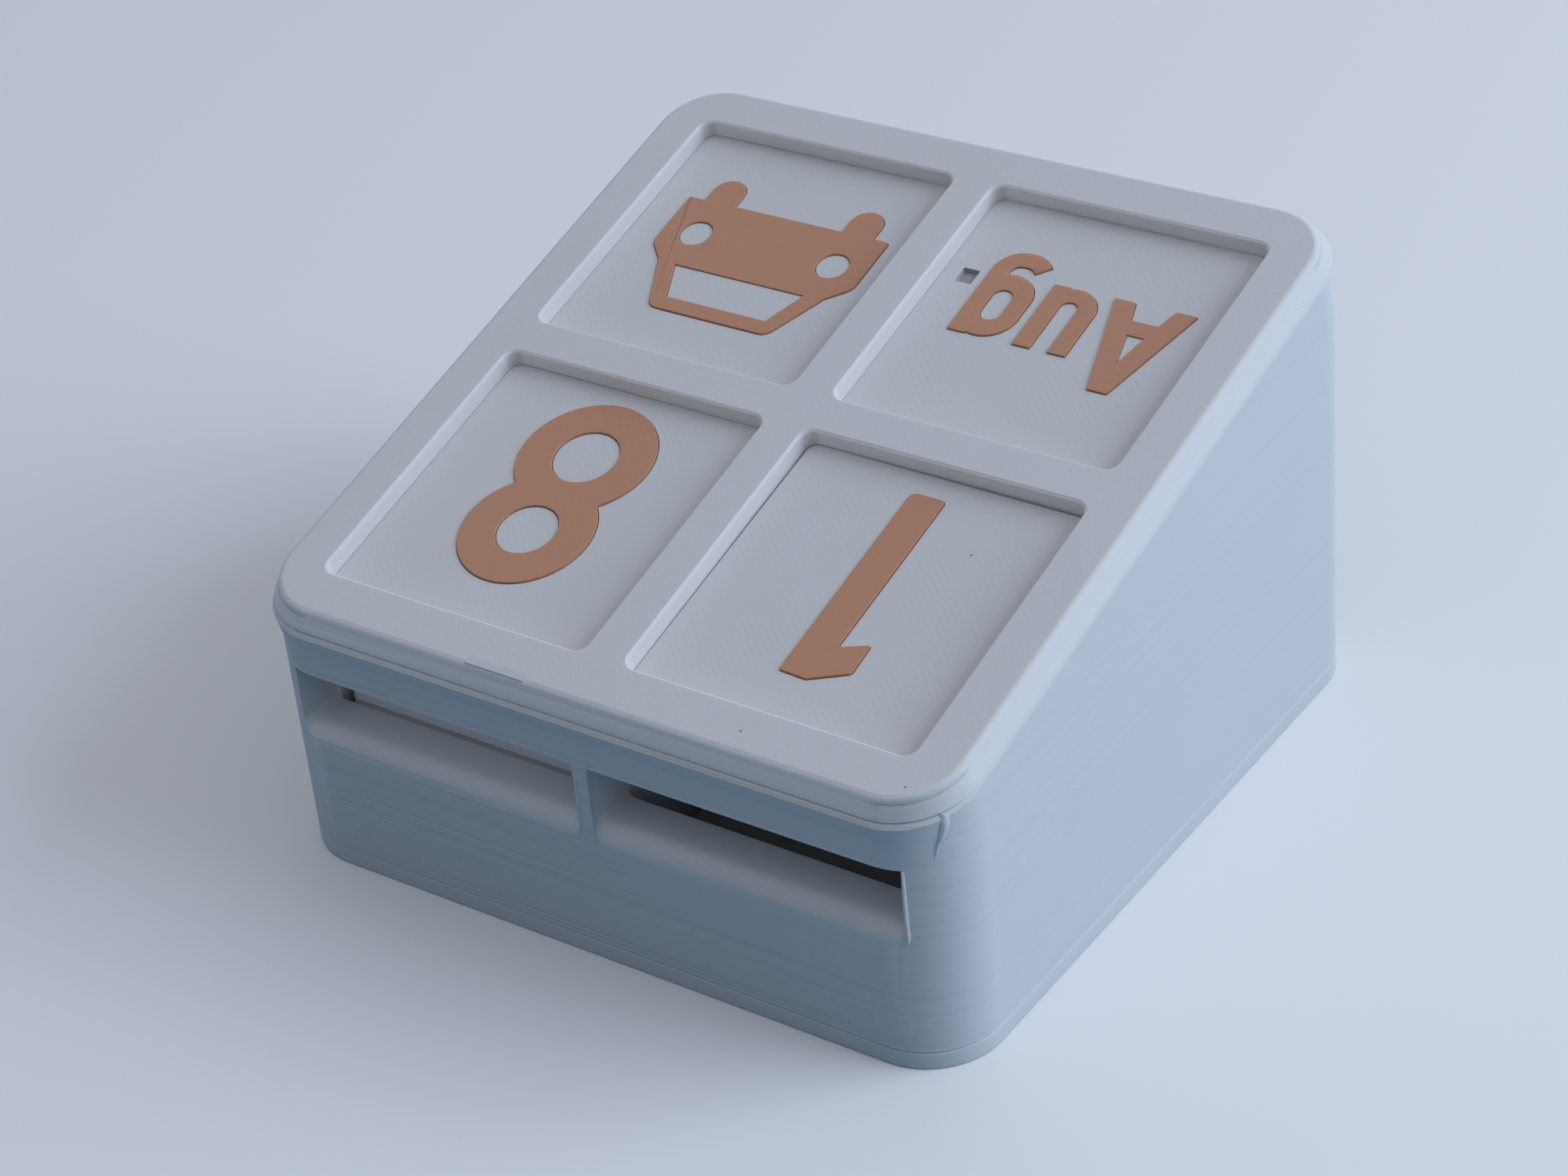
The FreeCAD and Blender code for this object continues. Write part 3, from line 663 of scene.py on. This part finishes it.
def contourPoints(contour):
    points = []
    for item in contour:
        if isinstance(item[0], tuple):
            points += arcPoints(points[-1], item[0], item[1], monthValues["arcSteps"])
        else:
            points.append(item)
    return points


def monthMiddle():
    low, high = (Vector(corner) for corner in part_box("month_tile"))
    return (low + high) / 2


def letterBlock(name, low, high):
    # the letters read upside down, as the calendar lies
    curve = bpy.data.curves.new(name, "CURVE")
    curve.dimensions = "2D"
    curve.fill_mode = "BOTH"
    curve.extrude = (high - low) / 2 * mm
    for contour in monthLetters:
        points = contourPoints(contour)
        spline = curve.splines.new("POLY")
        spline.points.add(len(points) - 1)
        spline.use_cyclic_u = True
        for place, (x, y) in zip(spline.points, points):
            place.co = (x * mm, y * mm, 0, 1)
    makeActive(addObject(name, curve))
    bpy.ops.object.convert(target="MESH")
    block = bpy.context.object
    centre = monthMiddle() + offFront * (monthValues["tileThick"] / 2 + (low + high) / 2) * mm
    block.data.transform(Matrix.Translation(centre) @ fromFront(-across, -upFront, offFront))
    editMesh(
        block,
        (bpy.ops.mesh.remove_doubles, {"threshold": edgeValues["weld"] * mm}),
        (bpy.ops.mesh.normals_make_consistent, {"inside": False}),
    )
    return block


def dotCentre():
    x, y = monthValues["dotPlace"]
    return monthMiddle() - across * x * mm - upFront * y * mm + offFront * monthValues["tileThick"] / 2 * mm


def addDot(cutter):
    high, low = monthValues["cutAbove"], -monthValues["dotDeep"]
    centre = dotCentre() + offFront * (low + high) / 2 * mm
    dot = frontBox(centre, (*monthValues["dotSize"], high - low))
    makeActive(cutter)
    dot.select_set(True)
    bpy.ops.object.join()


def paintShadeInDotPocket(piece):
    # faces deep in the full stop's pocket get the grey dot finish, painted shade
    centre = dotCentre()
    wide, tall = (size / 2 * monthValues["dotMargin"] * mm for size in monthValues["dotSize"])
    least, reach = monthValues["dotDepthSeen"] * mm, monthValues["dotReach"] * mm
    piece.data.materials.append(finishes["dot"])
    for face in piece.data.polygons:
        offset = face.center - centre
        inside = abs(offset.x) < wide and abs(offset.dot(upFront)) < tall
        if inside and offset.dot(offFront) < -least and offset.length < reach:
            face.material_index = 1


pocketCutter = letterBlock("pocket_cutter", -monthValues["sunk"], monthValues["cutAbove"])
addDot(pocketCutter)
printed = {
    name: softened(name, edgeWidth(name), pocketCutter if name == "month_tile" else None) for name in nodes
}
bpy.data.objects.remove(pocketCutter)
paintShadeInDotPocket(printed["month_tile"])
letters = letterBlock("month_letters", -monthValues["sunk"], monthValues["proud"])
openGroove(letters)
roundEdges(letters, edgeValues["inlay"])
putFinish(letters, finishes["shownFigure"])
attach(letters, "month")
print("rounded the edges of", len(printed), "pieces and set the month letters")


# marks left by printing and handling, in mm

markValues = {
    # a width, and points of x, y, z and a share of the width
    "jambBead": (0.55, [(44.2, -49.22, 28.3, 0.7), (44.2, -49.25, 25.0, 1), (44.22, -49.25, 21.0, 1),
                        (44.3, -49.2, 19.2, 1), (44.15, -49.22, 18.3, 0.9), (43.5, -49.45, 18.0, 0.3)]),
    "dividerLeft": (0.5, [(-0.85, -49.85, 28.6, 0.5), (-0.85, -49.88, 26.0, 1), (-0.87, -49.88, 21.0, 1),
                          (-0.95, -49.86, 19.0, 1), (-1.3, -49.8, 18.0, 0.4)]),
    "dividerRight": (0.5, [(0.85, -49.85, 28.6, 0.5), (0.85, -49.88, 26.0, 1), (0.87, -49.88, 21.0, 1),
                           (0.95, -49.86, 18.8, 1), (1.5, -49.8, 17.4, 0.4)]),
    "cornerScar": (1.7, [(48.1, -46.1, 35.9, 0.7), (48.05, -46.15, 34.9, 1), (47.85, -46.3, 33.3, 0.75),
                         (47.35, -46.72, 31.3, 0.35), (46.9, -47.3, 28.6, 0.1)]),
}
rimEdge = Vector((0, -49.556, 37.941))
flakeValues = {
    "middle": -11.4,
    "size": (8.6, 0.9, 0.16),
    "row": rimEdge.dot(upFront) + 0.45,
    "level": rimEdge.dot(offFront) - 0.07,
    "round": 0.04,
}
speckValues = {
    "width": 0.22,
    "shape": (1.0, 1.3, 0.5),
    "segments": 10,
    "rings": 6,
    "places": {
        "case": [(21.99, -46.84, 38.67), (44.11, -47.21, 38.57)],
        "tens": [(31.72, -12.71, 45.33)],
    },
}


def strand(name, width, points):
    curve = bpy.data.curves.new(name, "CURVE")
    curve.dimensions = "3D"
    curve.bevel_depth = width / 2 * mm
    curve.bevel_resolution = 3
    curve.use_fill_caps = True
    spline = curve.splines.new("NURBS")
    spline.points.add(len(points) - 1)
    spline.use_endpoint_u = True
    spline.order_u = 3
    for place, (x, y, z, share) in zip(spline.points, points):
        place.co = (x * mm, y * mm, z * mm, 1)
        place.radius = share
    makeActive(addObject(name, curve))
    bpy.ops.object.convert(target="MESH")
    piece = bpy.context.object
    editMesh(piece, (bpy.ops.mesh.normals_make_consistent, {"inside": False}))
    smoothByAngle()
    putFinish(piece, finishes["strand"])
    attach(piece, "case")


def rimFlake(values):
    # a thin fin of plastic, flush with the front, that squares the rim's rounded edge
    middle = Vector((values["middle"] * mm, 0, 0))
    middle = middle + upFront * values["row"] * mm + offFront * values["level"] * mm
    piece = frontBox(middle, values["size"])
    piece.name = "rimFlake"
    roundEdges(piece, values["round"])
    putFinish(piece, finishes["strand"])
    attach(piece, "case")


def specks(body, values):
    # dust on the surface, a little flat
    deselectAll()
    bpy.ops.mesh.primitive_uv_sphere_add(
        segments=values["segments"], ring_count=values["rings"], radius=values["width"] / 2 * mm
    )
    first = bpy.context.object
    first.data.transform(Matrix.Diagonal((*values["shape"], 1.0)))
    grains = []
    for x, y, z in values["places"][body]:
        grain = addObject(first.name, first.data.copy())
        grain.data.transform(Matrix.Translation((x * mm, y * mm, z * mm)))
        grains.append(grain)
    bpy.data.objects.remove(first)
    makeActive(grains[0])
    for grain in grains:
        grain.select_set(True)
    if len(grains) > 1:
        bpy.ops.object.join()
    piece = bpy.context.object
    piece.name = body + "_specks"
    bpy.ops.object.shade_smooth()
    putFinish(piece, finishes["speck"])
    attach(piece, body)


for markName, (markWidth, markPoints) in markValues.items():
    strand(markName, markWidth, markPoints)
rimFlake(flakeValues)
for bodyName in speckValues["places"]:
    specks(bodyName, speckValues)
print("added", len(markValues) + 1, "printing marks and the specks")


# stage, light and camera

stageValues = {
    "floorSize": 6.0,
    "floorColour": (0.92, 0.90, 0.87),
    "floorBounce": (0.09, 0.29, 0.44),
    "floorRoughness": 0.8,
    "floorSpecular": 0.1,
    "worldColour": (0.915, 1.0, 1.198),
    "worldStrength": 0.02,
    "skyStrength": 0.56,
    "horizonColour": (0.86, 0.88, 0.90),
}
lampValues = {
    "name": "windowLamp",
    "place": (0.978, 0.456, 0.556),
    "aim": (0, 0, 0.03),
    "size": 1.0,
    "power": 10.1,
    "colour": (0.868, 1.003, 1.262),
}
cameraValues = {
    "place": (0.22854, -0.30878, 0.26986),
    "turn": (57.3223, 4.7498, 34.1215),
    "lens": 83.16,
    "sensorWidth": 36,
    "clipStart": 0.01,
}


def seenDirectly(tree):
    # one for what the camera sees, straight or by a mirror, and nothing for what lights the object
    path = tree.nodes.new("ShaderNodeLightPath")
    bent = mathNode(tree, "ADD", path.outputs["Is Glossy Ray"], path.outputs["Is Transmission Ray"])
    return mathNode(tree, "ADD", path.outputs["Is Camera Ray"], bent, clamp=True)


def makeFloor(values):
    deselectAll()
    bpy.ops.mesh.primitive_plane_add(size=values["floorSize"])
    floor = bpy.context.object
    floor.name = "floor"
    material, tree, shader = newMaterial("paleFloor")
    shader.inputs["Roughness"].default_value = values["floorRoughness"]
    shader.inputs["Specular IOR Level"].default_value = values["floorSpecular"]
    shown = mixColours(tree, seenDirectly(tree), values["floorBounce"], values["floorColour"])
    tree.links.new(shown, shader.inputs["Base Color"])
    putFinish(floor, material)


def makeSky(values):
    world = bpy.data.worlds.new("studio")
    world.use_nodes = True
    tree = world.node_tree
    background = tree.nodes["Background"]
    background.inputs["Color"].default_value = (*values["worldColour"], 1)
    coordinates = tree.nodes.new("ShaderNodeTexCoord")
    upper = mathNode(tree, "MAXIMUM", splitNode(tree, coordinates.outputs["Generated"])["Z"], 0.0)
    level = mathNode(tree, "MULTIPLY_ADD", upper, values["skyStrength"], values["worldStrength"])
    tree.links.new(level, background.inputs["Strength"])
    horizon = tree.nodes.new("ShaderNodeBackground")
    horizon.inputs["Color"].default_value = (*values["horizonColour"], 1)
    blend = tree.nodes.new("ShaderNodeMixShader")
    tree.links.new(seenDirectly(tree), blend.inputs["Fac"])
    tree.links.new(background.outputs[0], blend.inputs[1])
    tree.links.new(horizon.outputs[0], blend.inputs[2])
    tree.links.new(blend.outputs[0], tree.nodes["World Output"].inputs["Surface"])
    bpy.context.scene.world = world


def makeLamp(values):
    lamp = bpy.data.lights.new(values["name"], "AREA")
    lamp.size = values["size"]
    lamp.energy = values["power"]
    lamp.color = values["colour"]
    holder = addObject(values["name"], lamp)
    holder.location = values["place"]
    gaze = Vector(values["aim"]) - Vector(values["place"])
    holder.rotation_euler = gaze.to_track_quat("-Z", "Y").to_euler()


def makeCamera(values):
    camera = bpy.data.cameras.new("camera")
    camera.lens = values["lens"]
    camera.sensor_width = values["sensorWidth"]
    camera.sensor_fit = "HORIZONTAL"
    camera.clip_start = values["clipStart"]
    holder = addObject("camera", camera)
    holder.location = values["place"]
    holder.rotation_euler = Euler([math.radians(angle) for angle in values["turn"]])
    bpy.context.scene.camera = holder


makeFloor(stageValues)
makeSky(stageValues)
makeLamp(lampValues)
makeCamera(cameraValues)
bpy.context.scene.view_settings.view_transform = "Standard"
print("lit the stage")
